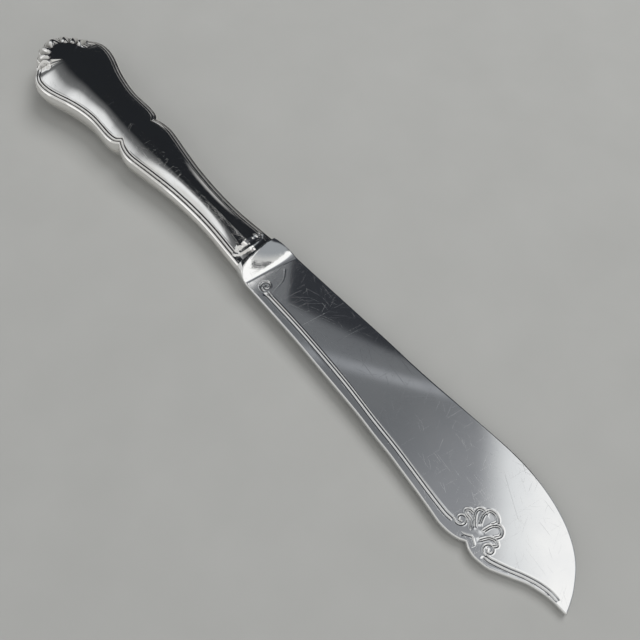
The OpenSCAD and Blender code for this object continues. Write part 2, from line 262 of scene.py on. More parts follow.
def side_outline():
    """Rows of x, y, the rib's rise, 1 on the reed, and the lobe's bulge, from the butt onwards."""
    rows = []
    for i, bulge in enumerate(LOBE_BULGES):
        a, b = np.array(LOBE_ENDS[i]), np.array(LOBE_ENDS[i + 1])
        run = b - a
        out = np.array([-run[1], run[0]]) / np.linalg.norm(run)
        count = 2 * round(float(np.linalg.norm(run)) / OUTLINE_STEP)
        for q in np.arange(count // 2 if i == 0 else 0, count) / count:
            lift = math.sin(math.pi * q) ** LOBE_ROUND
            rows.append([*(a + run * q + out * bulge * lift), lift, 0, bulge * lift])
    for x, y in np.vstack([spline(FLANK, OUTLINE_STEP)[:-1], spline(STEM, OUTLINE_STEP)]):
        rows.append([x, y, 0, 1, 0])
    return np.array(rows)


def handle_columns():
    """Both sides of the outline, and the way in, the length and the reed's spread of its columns."""
    side = side_outline()
    # the first point lies on the middle line
    side[0, 1] = 0
    line = np.vstack([side[:0:-1] * (1, -1, 1, 1, 1), side])
    hub = np.column_stack([np.maximum(line[:, 0], HUB_X), np.zeros(len(line))])
    way = hub - line[:, :2]
    length = np.linalg.norm(way, axis=1)
    way /= length[:, None]
    # the reed keeps its true width where the outline runs slantwise to the columns
    run = np.gradient(line[:, :2], axis=0)
    slant = np.abs(run[:, 0] * way[:, 1] - run[:, 1] * way[:, 0]) / np.linalg.norm(run, axis=1)
    return line, way, length, 1 / np.clip(slant, LEAST_SLANT, 1)


def scrollwork(place):
    """Height of the raised scrollwork over the handle's face."""
    folded = np.column_stack([place[:, 0], np.abs(place[:, 1])])
    rise = np.zeros(len(place))
    for path, half, high in SCROLLWORK:
        off = distance(folded, spline(path, step=0.3))
        rise = np.maximum(rise, high * rounded(off, half))
    return rise


def wall_rows(line, way, inset, count, top):
    """The side wall of a handle half, from the seam up to the crease under the reed."""
    rows = []
    low = SEAM_T / 2
    for k in range(count):
        turn = math.pi / 2 * k / count
        out = SIDE_FLARE * math.cos(turn) ** FLARE_POWER - inset
        rows.append(np.column_stack([line[:, :2] - way * out, low + (top - low) * math.sin(turn)]))
    return rows


def plain_height(line, way, length, d):
    """Height of a handle half without its ornament, at the distance d in from its outline."""
    panel = 1 - eased(*PANEL_END, line[:, 0])
    wall = between(WALL_CURVE, line[:, 0]) * crown(line[:, 0])
    across = np.abs(line[:, 1])
    bridged = (line[:, 0] > BRIDGE[0][0]) & (line[:, 0] < BRIDGE[-1][0])
    past = np.where(bridged, np.maximum(between(BRIDGE, line[:, 0]) - across, 0), 0)
    # behind the shell the dome starts from the lobes' chords, so that it has no ripples
    inside = past - line[:, 4] - REED_W
    q = np.clip((d + inside) / (length + inside), 0, 1)
    border = BORDER_H * line[:, 3] * panel * eased(*BORDER_FROM, line[:, 0])
    rim = wall + border * np.clip((d + past) / REED_W, 0, 1)
    top = crown(line[:, 0] + way[:, 0] * d) - NECK_DROP * (1 - panel)
    reeded = rim + (top - rim) * np.sin(np.pi / 2 * q)
    # the head behind the shell: up quickly under the ribs, and nearly flat from there
    rib_l = length - between([(0, RIB_ENDS[0]), (LOBE_ENDS[-1][1], RIB_ENDS[1])], across)
    left = np.clip((length - d) / (length - rib_l), 0, 1)
    panel_z = crown(HUB_X) * (1 - HEAD_DROP * left**2)
    rise = np.sin(np.pi / 2 * np.clip(d / rib_l, 0, 1))
    head = wall + (panel_z - wall) * rise
    share = (1 - eased(*HEAD_LONG, line[:, 0])) * (1 - eased(*HEAD_SIDE, across))
    return reeded + (head - reeded) * share, rib_l


def face_rows(line, way, length, spread, inset):
    """The face of a handle half from the crease to the middle, and its painted shade and tarnish."""
    rib, reeded = line[:, 2], line[:, 3]
    panel = 1 - eased(*PANEL_END, line[:, 0])
    plain = inset > 0
    reed = 0 if plain else reeded * panel
    flute_h = 0 if plain else (1 - reeded) * RIB_H
    rows, depths = [], []
    for k in range(len(REED_ROWS) + DOME_ROWS):
        q = max(0, k - len(REED_ROWS) + 1) / DOME_ROWS
        d = REED_ROWS[min(k, len(REED_ROWS) - 1)] * spread + inset
        d = d + (length - d) * q
        place = line[:, :2] + way * d[:, None]
        off = (d - inset) / spread
        base, rib_l = plain_height(line, way, length, d - inset * (1 - q))
        z = base - inset + reed * between(REED_CURVE, off)
        crease = dip_at(off - CREASE["at"], CREASE["wide"])
        groove = dip_at(off - GROOVE["at"], GROOVE["wide"])
        flute = flute_h * np.sin(np.pi * np.clip(d / rib_l, 0, 1) ** RIB_PEAK) ** RIB_FULL
        z = z + flute * (rib - RIB_VALLEY)
        if not plain:
            z = z + scrollwork(place)
        rows.append(np.column_stack([place, z]))
        # the crease, the groove, the rib valleys and the ribs' feet are painted dark: painted shade,
        # with tarnish
        valley = flute * (1 - rib) ** VALLEY_POWER
        foot = (1 - reeded) * RIB_SHADE * dip_at(d - rib_l, RIB_SHADE_W)
        depths.append(np.maximum(reed * np.maximum(crease, groove), np.maximum(valley, foot)))
    return rows, depths


def handle_half(name, face, node, material):
    """A die-struck half of the handle: its ornamented outside, its plain inside and its rims."""
    line, way, length, spread = handle_columns()
    top = plain_height(line, way, length, np.zeros(len(line)))[0]
    raised, depths = face_rows(line, way, length, spread, 0)
    outer = wall_rows(line, way, 0, WALL_ROWS, top) + raised
    sunk = face_rows(line, way, length, spread, WALL_T)[0]
    inner = wall_rows(line, way, WALL_T, WALL_ROWS // 2, top - WALL_T)
    inner += sunk[INSIDE_EVERY - 1::INSIDE_EVERY]
    columns, first = len(line), len(outer) * len(line)
    faces = []
    for begin, rows in ((0, len(outer)), (first, len(inner))):
        for k in range(begin, begin + (rows - 1) * columns, columns):
            faces += [(c, c + 1, c + 1 + columns, c + columns) for c in range(k, k + columns - 1)]
    faces += [(c, c + 1, first + c + 1, first + c) for c in range(columns - 1)]
    arch = [k * columns for k in range(len(outer))]
    hollow = [first + k * columns for k in range(len(inner))]
    far = columns - 1
    faces.append(
        arch + [i + far for i in arch[-2::-1]] + [i + far for i in hollow] + hollow[-2::-1]
    )
    points = np.vstack(outer + inner)
    points[:, 2] *= face
    # the face's painted shade and tarnish, as a point mask for the silver
    recess = np.zeros(len(points))
    recess[WALL_ROWS * columns:first] = np.concatenate(depths)
    return solid(name, points, faces, {"recess": recess}, material, node)


def seam_line(material):
    """The solder between the two halves, seen as a fine line round the handle."""
    line, way = handle_columns()[:2]
    outside = line[:, :2] - way * (SIDE_FLARE - SEAM_SET_IN)
    inside = line[:, :2] - way * (SIDE_FLARE - WALL_T)
    columns = len(line)
    corners = [(outside, -1), (outside, 1), (inside, 1), (inside, -1)]
    points = np.vstack([
        np.column_stack([place, np.full(columns, up * SEAM_T / 2)]) for place, up in corners
    ])
    starts = [k * columns for k in range(len(corners))]
    faces = [
        (a + c, a + c + 1, b + c + 1, b + c)
        for a, b in zip(starts, starts[1:] + starts[:1]) for c in range(columns - 1)
    ]
    faces += [tuple(starts), tuple(a + columns - 1 for a in starts)]
    return solid("seam_line", points, faces, {}, material, "seam_solder")


# The blade's outline: from the bolster along the curved edge to the tip, from there to the cusp
# in the back, and from the cusp back to the bolster.
BOLSTER_SIDE = [(92.4, 6.35), (94.8, 6.85), (96.9, 7.2)]
EDGE = [
    (96.9, 7.2), (105, 7.5), (114, 7.9), (122.9, 8.3), (131.4, 8.7), (139, 8.9), (145, 9.2),
    (152, 9.7), (159.3, 10.2), (166.5, 10.7), (170.1, 10.8), (173.9, 10.7), (177.8, 10.3),
    (181.5, 9.6), (185, 8.6), (188.3, 7.3), (191.2, 5.7), (193.5, 4), (195.3, 2.2),
    (196.8, 0.2), (198.2, -2), (199.2, -4.1), (199.85, -5.8), (200, -6.5),
]
TIP = [
    (200, -6.5), (199.4, -6.7), (197.8, -6.7), (196, -6.8), (193.7, -7.2), (190.7, -8.1),
    (187.8, -9.6), (184.9, -11.1), (183, -12), (180.8, -12.4), (179.1, -12.5), (177.4, -12.1),
    (176.1, -11.4),
]
BACK = [
    (176.1, -11.4), (175.6, -11.7), (174.4, -12.3), (172.2, -12.8), (169.5, -12.9), (166.8, -12.5),
    (163.4, -12), (159.7, -11.5), (155.7, -11), (151.7, -10.5), (146, -10), (141.3, -9.5),
    (136.3, -9.1), (126.7, -8.5), (117.1, -7.9), (107.1, -7.5), (96.9, -7.2),
]
# engraved lines: the double border, the shell's lobes with two strokes under them, and the
# scrolls, with their width, the gap in the double border, and their depth
LINE_W = 0.34
LINE_GAP = 0.75
LINE_DEEP = 0.075
BORDER_LINES = [
    [(103.2, -5), (114, -5.2), (123.7, -5.7), (133.4, -6.4), (143.4, -7.5), (151, -8.2),
     (156.8, -8.9), (162.2, -9.6), (166.5, -10.1), (169.1, -10.3), (170.7, -10.2)],
    [(180.9, -10.6), (182, -10.5), (183.4, -10), (186, -8.9), (188.7, -7.6), (191.8, -6.4),
     (194.5, -5.8), (196.7, -5.8)],
]
SHELL_LOBES = [
    [(174.6, -8.7), (173.4, -7.5), (172.2, -7.3), (171.4, -6.9), (171.3, -6.3), (171.9, -5.7),
     (172.9, -5.6)],
    [(175, -7.9), (173.6, -6.4), (172.9, -5.1), (173.1, -4), (174.2, -3.5), (175.1, -3.8)],
    [(175.3, -6.5), (174.6, -4.9), (174.5, -3.6), (175.1, -2.5), (176.3, -2.2), (177.4, -2.6),
     (178, -3.4), (177.6, -4.6)],
    [(176.9, -6.8), (177.3, -5), (178.2, -3.8), (179.1, -3.5), (180, -4), (180.4, -5.1),
     (179.9, -6.2)],
    [(177.8, -8.7), (178.7, -7.1), (179.9, -6.4), (180.7, -6.5), (181.3, -7.1), (180.8, -7.9)],
]
SHELL_STROKES = [[(174.8, -10.6), (176.3, -9.7)], [(176.5, -9.9), (177.7, -10.6)]]
# each lobe has a second, finer line inside it
LOBE_INNER = {"in": 0.45, "wide": 0.24}
# each scroll: its middle, its outer radius, the angle where the line begins, and its turn
SCROLLS = [
    ((101, -3.77), 1.5, -60, -450),
    ((172.1, -8.7), 1.5, -130, 430),
    ((180.6, -9), 1.5, -75, -430),
]
# the share of its radius that a scroll loses as it winds in
SCROLL_CLOSE = 0.66
SCROLL_POINTS = 40
# the width and the half thickness of the blade's worn rim, and the bolster's half thickness
BEVEL_W = 0.3
RIM_Z = 0.5
BOLSTER_HALF_T = 3.55
# how full the bolster's section is towards the back and towards the edge: 2 would be an ellipse
SECTION_FULL = (3.2, 5.5)
# the shoulder's slope: where it starts on the middle line and how long it is there, how its start
# and its foot move with y, its height from start to foot, how softly it meets the blade and the
# bolster's round, and its rounding across the knife
COLLAR_L = 0.75
SHOULDER_L = 4.55
COLLAR_TURN = 0.17
FOOT_TURN = math.radians(8.3)
SHOULDER = [(0, 1), (0.25, 0.79), (0.5, 0.55), (0.75, 0.29), (1, 0), (1.3, -0.38)]
SHOULDER_CURVE = spline(SHOULDER, step=0.02)
FOOT_SOFT = 0.45
FACET_SOFT = 0.12
FACET_ROUND = 0.02
# the tang: its length, its half widths at the root and at the end, and its half thickness
TANG = {"long": 46, "root": 2.5, "end": 1.5, "half_t": 1.6}
# spacing of the blade's points: along the outline, over the blade, and over the bolster up to
# BOLSTER_END
RIM_STEP = 0.3
FACE_STEP = 0.75
BOLSTER_STEP = 0.22
BOLSTER_END = 100
# how far beyond half the blade's width the points over it start, because the back reaches further
BACK_SPARE = 1
# rings of points inside the outline, and the share of its distance from it that a point needs
RIM_RINGS = [0.07, 0.15, 0.25, 0.36, 0.48, 0.7]
RING_KEEP = 0.9
# rows of points beside an engraved line
GROOVE_SIDES = [0, 0.1, 0.18, 0.28, 0.42, 0.6]
# points aren't set closer than this, and at SAME_PLACE they count as one
CLOSEST = 0.06
SAME_PLACE = CLOSEST / 100
# the eased edge of the bolster where it meets the handle
JOINT_SOFT = 0.15
# the raised edge beside a cut line: its place and its width in half widths of the line
BURR = {"at": 1.4, "wide": 0.45, "high": 0.02}
# the faint ridge in front of the bolster's foot
CRESCENT = spline([(100.4, 2.7), (102.3, 0.5), (103.2, -2.8), (103.8, -5)], RIM_STEP)
CRESCENT_SIDES = [0, 0.15, 0.3, 0.5]
CRESCENT_W = 0.15
CRESCENT_H = 0.003
# the blade's rim is painted bright this far in, as wear and as a painted highlight
WEAR_HIGHLIGHT_W = 0.3
# the bolster's polish sets in between these heights of its round
POLISHED = (0.6, 1)


def blade_outline():
    """The outline of bolster and blade, once round from the joint's curved-edge side."""
    sides = [BOLSTER_SIDE, EDGE, TIP, BACK, [(x, -y) for x, y in BOLSTER_SIDE[::-1]]]
    joint = [(HANDLE_L, -BOLSTER_SIDE[0][1]), BOLSTER_SIDE[0]]
    parts = [spline(side, RIM_STEP)[:-1] for side in sides]
    return np.vstack(parts + [straight(joint, RIM_STEP)[:-1]])


def straight(ends, step):
    """A straight line between two points, with a point about every step."""
    a, b = np.array(ends, float)
    count = max(1, round(float(np.linalg.norm(b - a)) / step))
    return a + (b - a) * np.arange(count + 1)[:, None] / count


def normals(path):
    """The direction square to a path at each of its points, on its left."""
    run = np.gradient(path, axis=0)
    run /= np.linalg.norm(run, axis=1)[:, None]
    return np.column_stack([-run[:, 1], run[:, 0]])


def scroll(middle, radius, begin, turn):
    """A line that winds in towards its middle."""
    q = np.linspace(0, 1, SCROLL_POINTS)
    angle = np.radians(begin + turn * q)
    reach = radius * (1 - SCROLL_CLOSE * q)
    return np.array(middle) + reach[:, None] * np.column_stack([np.cos(angle), np.sin(angle)])


def engraved_paths():
    """Every engraved line as its path and its width."""
    paths = []
    for line in BORDER_LINES:
        path = spline(line, step=0.3)
        beside = normals(path) * LINE_GAP / 2
        paths += [path + beside, path - beside]
    lobes = [spline(line, step=0.25) for line in SHELL_LOBES]
    strokes = [spline(line, step=0.25) for line in SHELL_STROKES]
    paths += lobes + strokes + [scroll(*row) for row in SCROLLS]
    inner = [lobe - normals(lobe) * LOBE_INNER["in"] for lobe in lobes]
    return [(path, LINE_W) for path in paths] + [(path, LOBE_INNER["wide"]) for path in inner]


def spaced(kept, groups, least):
    """The kept points, then groups of points without those too close to the ones before."""
    kept = [tuple(p) for p in kept]
    for points in groups:
        tree = KDTree(len(kept))
        for i, (x, y) in enumerate(kept):
            tree.insert((x, y, 0), i)
        tree.balance()
        taken = set()
        for x, y in points:
            cell = (round(x / least), round(y / least))
            if cell in taken or tree.find((x, y, 0))[2] < least:
                continue
            taken.add(cell)
            kept.append((x, y))
    return np.array(kept)


def bolster_height(place):
    """Height of the bolster's round and of its sloping shoulder over the middle plane."""
    half = between(BOLSTER_SIDE, place[:, 0])
    power = np.where(place[:, 1] < 0, *SECTION_FULL)
    full = np.clip(np.abs(place[:, 1]) / half, 0, 1) ** power
    tube = BOLSTER_HALF_T * half / BOLSTER_SIDE[0][1] * (1 - full) ** (1 / power)
    begin = COLLAR_L - place[:, 1] * COLLAR_TURN
    long = SHOULDER_L + COLLAR_L - begin + place[:, 1] * math.tan(FOOT_TURN)
    slope = between(SHOULDER_CURVE, (place[:, 0] - HANDLE_L - begin) / long)
    cut = FACE_Z + slope * (BOLSTER_HALF_T - FACE_Z) - slope * FACET_ROUND * place[:, 1] ** 2
    return lesser(tube, cut, FACET_SOFT)


def grid(step, low, high):
    """Points in offset rows over a part of the blade, from one corner to the other."""
    x, y = np.meshgrid(np.arange(low[0], high[0], step), np.arange(low[1], high[1], step))
    x[1::2] += step / 2
    return np.column_stack([x.ravel(), y.ravel()])


def both_sides(path, offsets):
    """Points along a path and beside it on both sides."""
    side = normals(path)
    return np.vstack([path + side * off * sign for sign in (1, -1) for off in offsets])


def blade_plan(outline, closed, paths):
    """The points and triangles of the blade seen from above: dense at the rim and the engraving."""
    inward = -normals(np.vstack([outline[-1:], outline, outline[:1]]))[1:-1]
    rim = [outline]
    for off in RIM_RINGS:
        ring = outline + inward * off
        rim.append(ring[distance(ring, closed) > RING_KEEP * off])
    engraved = [both_sides(path, GROOVE_SIDES) for path, _ in paths]
    ridge = both_sides(CRESCENT, CRESCENT_SIDES)
    root = BOLSTER_SIDE[-1][1]
    fine = grid(BOLSTER_STEP, (HANDLE_L, -root), (BOLSTER_END, root))
    fine = fine[distance(fine, closed) > BEVEL_W]
    coarse = grid(FACE_STEP, (HANDLE_L, -BLADE_W / 2 - BACK_SPARE), (OVERALL_L, BLADE_W / 2))
    coarse = coarse[distance(coarse, closed) > RIM_RINGS[-1]]
    points = spaced(np.vstack(rim), [*engraved, ridge, fine], CLOSEST)
    points = spaced(points, [coarse], FACE_STEP / 2)
    border = list(range(len(outline)))[::-1]
    flat = delaunay_2d_cdt([Vector(p) for p in points], [], [border], 1, SAME_PLACE)
    # only the points inside the outline have triangles
    used, triangles = np.unique(np.array(flat[2]), return_inverse=True)
    return np.array([tuple(p) for p in flat[0]])[used], triangles.reshape(-1, 3)


def plate_height(rim):
    """Height of the blade at the distance rim in from its outline: flat, with a worn bevel."""
    return RIM_Z + (FACE_Z - RIM_Z) * rounded(BEVEL_W - np.minimum(rim, BEVEL_W), BEVEL_W)


def rim_pairs(triangles):
    """The edges that only one triangle has."""
    edges = np.vstack([triangles[:, [0, 1]], triangles[:, [1, 2]], triangles[:, [2, 0]]]).tolist()
    both = {tuple(edge) for edge in edges}
    return [(a, b) for a, b in both if (b, a) not in both]


def tang_bar(first):
    """The tang's corners and faces, tapering back from inside the bolster into the handle."""
    points = [
        (HANDLE_L - back, side * half, up * TANG["half_t"])
        for back, half in ((-COLLAR_L / 2, TANG["root"]), (TANG["long"], TANG["end"]))
        for side, up in ((-1, -1), (1, -1), (1, 1), (-1, 1))
    ]
    around = [(k, (k + 1) % 4, (k + 1) % 4 + 4, k + 4) for k in range(4)]
    faces = [tuple(first + i for i in face) for face in [(0, 1, 2, 3), (4, 5, 6, 7), *around]]
    return points, faces


def blade(material):
    """Bolster, blade and tang in one piece, with the engraving cut into the upper face."""
    outline = blade_outline()
    closed = np.vstack([outline, outline[:1]])
    paths = engraved_paths()
    place, triangles = blade_plan(outline, closed, paths)
    rim = distance(place, closed)
    bolster = bolster_height(place)
    body = greater(bolster, plate_height(rim), FOOT_SOFT)
    # the joint's edge is eased, so that it shows as a fine line against the neck
    joint = np.clip((place[:, 0] - HANDLE_L) / JOINT_SOFT, 0, 1)
    body = body - JOINT_SOFT * (1 - rounded(1 - joint, 1))
    # distance from the nearest engraved line, as a share of the line's half width
    off = np.full(len(place), np.inf)
    for path, wide in paths:
        off = np.minimum(off, distance(place, path) / (wide / 2))
    cut = np.clip(1 - off**2, 0, 1)
    burr = dip_at(off - BURR["at"], BURR["wide"])
    ridge = dip_at(distance(place, CRESCENT), CRESCENT_W)
    top = body - LINE_DEEP * cut + BURR["high"] * burr + CRESCENT_H * ridge
    count = len(place)
    points = np.vstack([np.column_stack([place, top]), np.column_stack([place, -body])])
    faces = triangles.tolist() + (triangles[:, ::-1] + count).tolist()
    faces += [(b, a, a + count, b + count) for a, b in rim_pairs(triangles)]
    corners, sides = tang_bar(len(points))
    no_tang = np.zeros(len(corners))
    masks = {
        # the engraved lines are darkened, as tarnish and as painted shade
        "recess": np.concatenate([cut, np.zeros(count), no_tang]),
        # the rim's wear, which also paints a highlight along it
        "wear_and_highlight": np.concatenate([1 - eased(0, WEAR_HIGHLIGHT_W, rim)] * 2 + [no_tang]),
        "polish": np.concatenate([eased(*POLISHED, bolster)] * 2 + [no_tang]),
    }
    return solid(
        "blade_engraved", np.vstack([points, corners]), faces + sides, masks,
        material, "blade",
    )


def filled(tree, made, inputs):
    """The outputs of a node, once its inputs are set or linked."""
    for name, value in inputs.items():
        if isinstance(value, bpy.types.NodeSocket):
            tree.links.new(value, made.inputs[name])
        else:
            made.inputs[name].default_value = value
    return made.outputs


def add(tree, kind, inputs, **settings):
    """The outputs of a new shader node."""
    made = tree.nodes.new("ShaderNode" + kind)
    for name, value in settings.items():
        setattr(made, name, value)
    return filled(tree, made, inputs)


def maths(tree, operation, a, b=0.0, c=0.0):
    """The result of one sum with values or sockets."""
    return add(tree, "Math", {0: a, 1: b, 2: c}, operation=operation)[0]


def mapped(tree, value, low, high, to_low=0.0, to_high=1.0):
    """A value taken smoothly from one range to another."""
    span = {"Value": value, "From Min": low, "From Max": high, "To Min": to_low, "To Max": to_high}
    return add(tree, "MapRange", span, interpolation_type="SMOOTHSTEP")[0]


def blend(tree, share, a, b):
    """A colour between two colours."""
    return add(tree, "MixRGB", {"Fac": share, "Color1": a, "Color2": b})[0]


def noise(tree, place, scale, detail=2.0):
    """Cloudy values round a half."""
    return add(tree, "TexNoise", {"Vector": place, "Scale": scale, "Detail": detail})["Fac"]


def group(name, inputs, outputs):
    """An empty node group with its sockets, and its input and output nodes."""
    tree = bpy.data.node_groups.new(name, "ShaderNodeTree")
    for socket, kind, value in inputs:
        made = tree.interface.new_socket(socket, in_out="INPUT", socket_type="NodeSocket" + kind)
        if value is not None:
            made.default_value = value
    for socket in outputs:
        tree.interface.new_socket(socket, in_out="OUTPUT", socket_type="NodeSocketFloat")
    return tree, tree.nodes.new("NodeGroupInput").outputs, tree.nodes.new("NodeGroupOutput").inputs


def use(tree, shared, inputs):
    """The outputs of a node group placed in a material."""
    made = tree.nodes.new("ShaderNodeGroup")
    made.node_tree = shared
    return filled(tree, made, inputs)


# fine scratches left by wiping: the angles they run at, in degrees, with a seed place for each
WIPES = [(8, 0), (31, 17), (67, 41), (-22, 73), (-48, 101), (-79, 139)]
# noise above this level is a scratch: for a share of 0, how much lower for 1, and the soft edge
SCRATCH_LEVEL = {"least": 0.78, "fall": 0.2, "soft": 0.06}


def scratch_group():
    """Fine straight scratches running many ways, as a mask that is 1 in a scratch."""
    tree, given, out = group(
        "fine_scratches",
        [("Place", "Vector", None), ("Length", "Float", 8.0), ("Width", "Float", 0.1),
         ("Share", "Float", 0.3)],
        ["Scratches"],
    )
    found = None
    fall = maths(tree, "MULTIPLY", given["Share"], SCRATCH_LEVEL["fall"])
    low = maths(tree, "SUBTRACT", SCRATCH_LEVEL["least"], fall)
    high = maths(tree, "ADD", low, SCRATCH_LEVEL["soft"])
    for angle, seed in WIPES:
        turned = add(
            tree, "Mapping", {"Vector": given["Place"], "Rotation": (0, 0, math.radians(angle))},
            vector_type="POINT",
        )[0]
        parts = add(tree, "SeparateXYZ", {0: turned})
        along = maths(tree, "ADD", maths(tree, "DIVIDE", parts[0], given["Length"]), float(seed))
        across = maths(tree, "DIVIDE", parts[1], given["Width"])
        up = maths(tree, "DIVIDE", parts[2], given["Length"])
        stretched = add(tree, "CombineXYZ", {0: along, 1: across, 2: up})[0]
        streak = mapped(tree, noise(tree, stretched, scale=1.0, detail=1.0), low, high)
        found = streak if found is None else maths(tree, "MAXIMUM", found, streak)
    tree.links.new(found, out["Scratches"])
    return tree


def tarnish_and_shade_group():
    """Tarnish and painted shade in cut and pressed lines, broken up by polishing."""
    tree, given, out = group(
        "tarnish_and_shade_in_lines",
        [("Place", "Vector", None), ("Recess", "Float", 0.0), ("Amount", "Float", 0.5)],
        ["Tarnish"],
    )
    clouds = noise(tree, given["Place"], scale=0.9, detail=3.0)
    patchy = mapped(tree, clouds, low=0.3, high=0.7, to_low=0.55)
    kept = maths(tree, "MULTIPLY", given["Recess"], patchy)
    kept = maths(tree, "MULTIPLY", kept, given["Amount"])
    tree.links.new(maths(tree, "MINIMUM", kept, 1.0), out["Tarnish"])
    return tree


def smear_group():
    """Soft cloudy smears from handling, from 0 to 1."""
    tree, given, out = group(
        "handling_smears", [("Place", "Vector", None), ("Size", "Float", 12.0)], ["Smears"]
    )
    size = maths(tree, "DIVIDE", 1.0, given["Size"])
    broad = noise(tree, given["Place"], scale=size, detail=4.0)
    tree.links.new(mapped(tree, broad, low=0.35, high=0.68), out["Smears"])
    return tree


SCRATCHES = scratch_group()
TARNISH_AND_SHADE = tarnish_and_shade_group()
SMEARS = smear_group()

# how each metal looks: its colours, its roughness and what each mask adds to that, its scratches,
# the size of its smears, and how much of the tarnish and painted shade in its lines it shows; dark
# is their colour
SILVER = {
    "clean": (0.90, 0.89, 0.87, 1), "smeared": (0.86, 0.85, 0.83, 1),
    "dark": (0.09, 0.08, 0.07, 1),
    "rough": {"clean": 0.055, "smears": 0.03, "scratches": 0.05, "tarnish_and_shade": 0.3},
    "scratches": {"Length": 5.0, "Width": 0.12, "Share": 0.35}, "smear_size": 9.0, "tarnish_and_shade": 1.0,
}
STEEL = {
    "clean": (0.82, 0.82, 0.81, 1), "smeared": (0.76, 0.765, 0.765, 1),
    "dark": (0.12, 0.12, 0.12, 1),
    "rough": {"clean": 0.042, "smears": 0.01, "scratches": 0.05, "tarnish_and_shade": 0.2},
    "scratches": {"Length": 9.0, "Width": 0.09, "Share": 0.22}, "smear_size": 16.0, "tarnish_and_shade": 0.4,
}
SOLDER = {
    "clean": (0.74, 0.71, 0.64, 1), "smeared": (0.60, 0.57, 0.51, 1),
    "rough": {"clean": 0.24, "scratches": 0.12},
    "scratches": {"Length": 2.0, "Width": 0.08, "Share": 0.5}, "smear_size": 3.0,
}
# the low waves that hand polishing leaves in the silver, and its scratches' depth beside them
SILVER_WAVES = {"scale": 0.16, "high": 6.0}
SILVER_SCRATCH = 0.5
# where the blade's bolster is polished, and along its rim as wear and a painted highlight, it is
# brighter, and it has a few longer and deeper scratches
STEEL_BRIGHT = (0.86, 0.86, 0.85, 1)
WEAR_HIGHLIGHT_BRIGHT = 0.6
DEEP_SCRATCHES = {"Length": 24.0, "Width": 0.2, "Share": 0.1}
DEEPER = 1.3
CEMENT_DARK = (0.23, 0.15, 0.09, 1)
CEMENT_PALE = (0.42, 0.30, 0.20, 1)
CEMENT_PIT = (0.10, 0.07, 0.05, 1)


def new_material(name, metallic):
    """A material with its shader, its node tree and the place on the knife in millimetres."""
    made = bpy.data.materials.new(name)
    made.use_nodes = True
    tree = made.node_tree
    shader = tree.nodes["Principled BSDF"].inputs
    shader["Metallic"].default_value = metallic
    at = add(tree, "TexCoord", {})["Object"]
    place = add(tree, "Mapping", {"Vector": at, "Scale": (1 / MM, 1 / MM, 1 / MM)})[0]
    return made, tree, shader, place


def mask(tree, name):
    """A mask that a piece has as a point attribute."""
    return add(tree, "Attribute", {}, attribute_name=name)["Fac"]


def bump(tree, height, deep):
    """A normal from a height that is 1 at the given depth, in millimetres."""
    return add(tree, "Bump", {"Height": height, "Distance": deep * MM, "Strength": 1.0})[0]


def metal_masks(tree, metal, place):
    """The scratches and the smears of a metal."""
    scratches = use(tree, SCRATCHES, {"Place": place, **metal["scratches"]})[0]
    return scratches, use(tree, SMEARS, {"Place": place, "Size": metal["smear_size"]})[0]


def tarnished_and_shaded(tree, metal, place, colour, rough, shader):
    """Gives a shader the metal's colour and roughness, with tarnish and painted shade in its lines.
    """
    inputs = {"Place": place, "Recess": mask(tree, "recess"), "Amount": metal["tarnish_and_shade"]}
    tarnish_and_shade = use(tree, TARNISH_AND_SHADE, inputs)[0]
    # the lines are darkened towards the dark colour, as tarnish and as painted shade
    tree.links.new(blend(tree, tarnish_and_shade, colour, metal["dark"]), shader["Base Color"])
    rough = maths(tree, "MULTIPLY_ADD", tarnish_and_shade, metal["rough"]["tarnish_and_shade"], rough)
    tree.links.new(rough, shader["Roughness"])


def used_roughness(tree, metal, scratches, smears):
    """Roughness of the clean metal with what its smears and scratches add."""
    adds = metal["rough"]
    smeared = maths(tree, "MULTIPLY_ADD", smears, adds["smears"], adds["clean"])
    return maths(tree, "MULTIPLY_ADD", scratches, adds["scratches"], smeared)


def polished_silver():
    """Hand-polished silver: bright, with wiping scratches, soft smears and pressed lines darkened by
    tarnish and painted shade.
    """
    made, tree, shader, place = new_material("polished_silver", metallic=1)
    scratches, smears = metal_masks(tree, SILVER, place)
    bright = blend(tree, smears, SILVER["clean"], SILVER["smeared"])
    rough = used_roughness(tree, SILVER, scratches, smears)
    tarnished_and_shaded(tree, SILVER, place, bright, rough, shader)
    clouds = noise(tree, place, scale=SILVER_WAVES["scale"], detail=1.0)
    waves = maths(tree, "MULTIPLY", clouds, SILVER_WAVES["high"])
    height = maths(tree, "SUBTRACT", waves, maths(tree, "MULTIPLY", scratches, SILVER_SCRATCH))
    tree.links.new(bump(tree, height, deep=0.004), shader["Normal"])
    return made


def worn_blade_metal():
    """Blade metal worn by use: greyer than the handle and scratched, its rim bright with wear and a
    painted highlight; its bolster polished.
    """
    made, tree, shader, place = new_material("worn_blade_metal", metallic=1)
    scratches, smears = metal_masks(tree, STEEL, place)
    grey = blend(tree, smears, STEEL["clean"], STEEL["smeared"])
    # the rim's mask brightens it as wear and as a painted highlight
    worn_and_highlit = maths(tree, "MULTIPLY", mask(tree, "wear_and_highlight"), WEAR_HIGHLIGHT_BRIGHT)
    bright = maths(tree, "MAXIMUM", worn_and_highlit, mask(tree, "polish"))
    grey = blend(tree, bright, grey, STEEL_BRIGHT)
    rough = used_roughness(tree, STEEL, scratches, smears)
    tarnished_and_shaded(tree, STEEL, place, grey, rough, shader)
    long = use(tree, SCRATCHES, {"Place": place, **DEEP_SCRATCHES})[0]
    scored = maths(tree, "MULTIPLY_ADD", long, DEEPER, scratches)
    tree.links.new(bump(tree, maths(tree, "SUBTRACT", 0.0, scored), deep=0.0012), shader["Normal"])
    return made


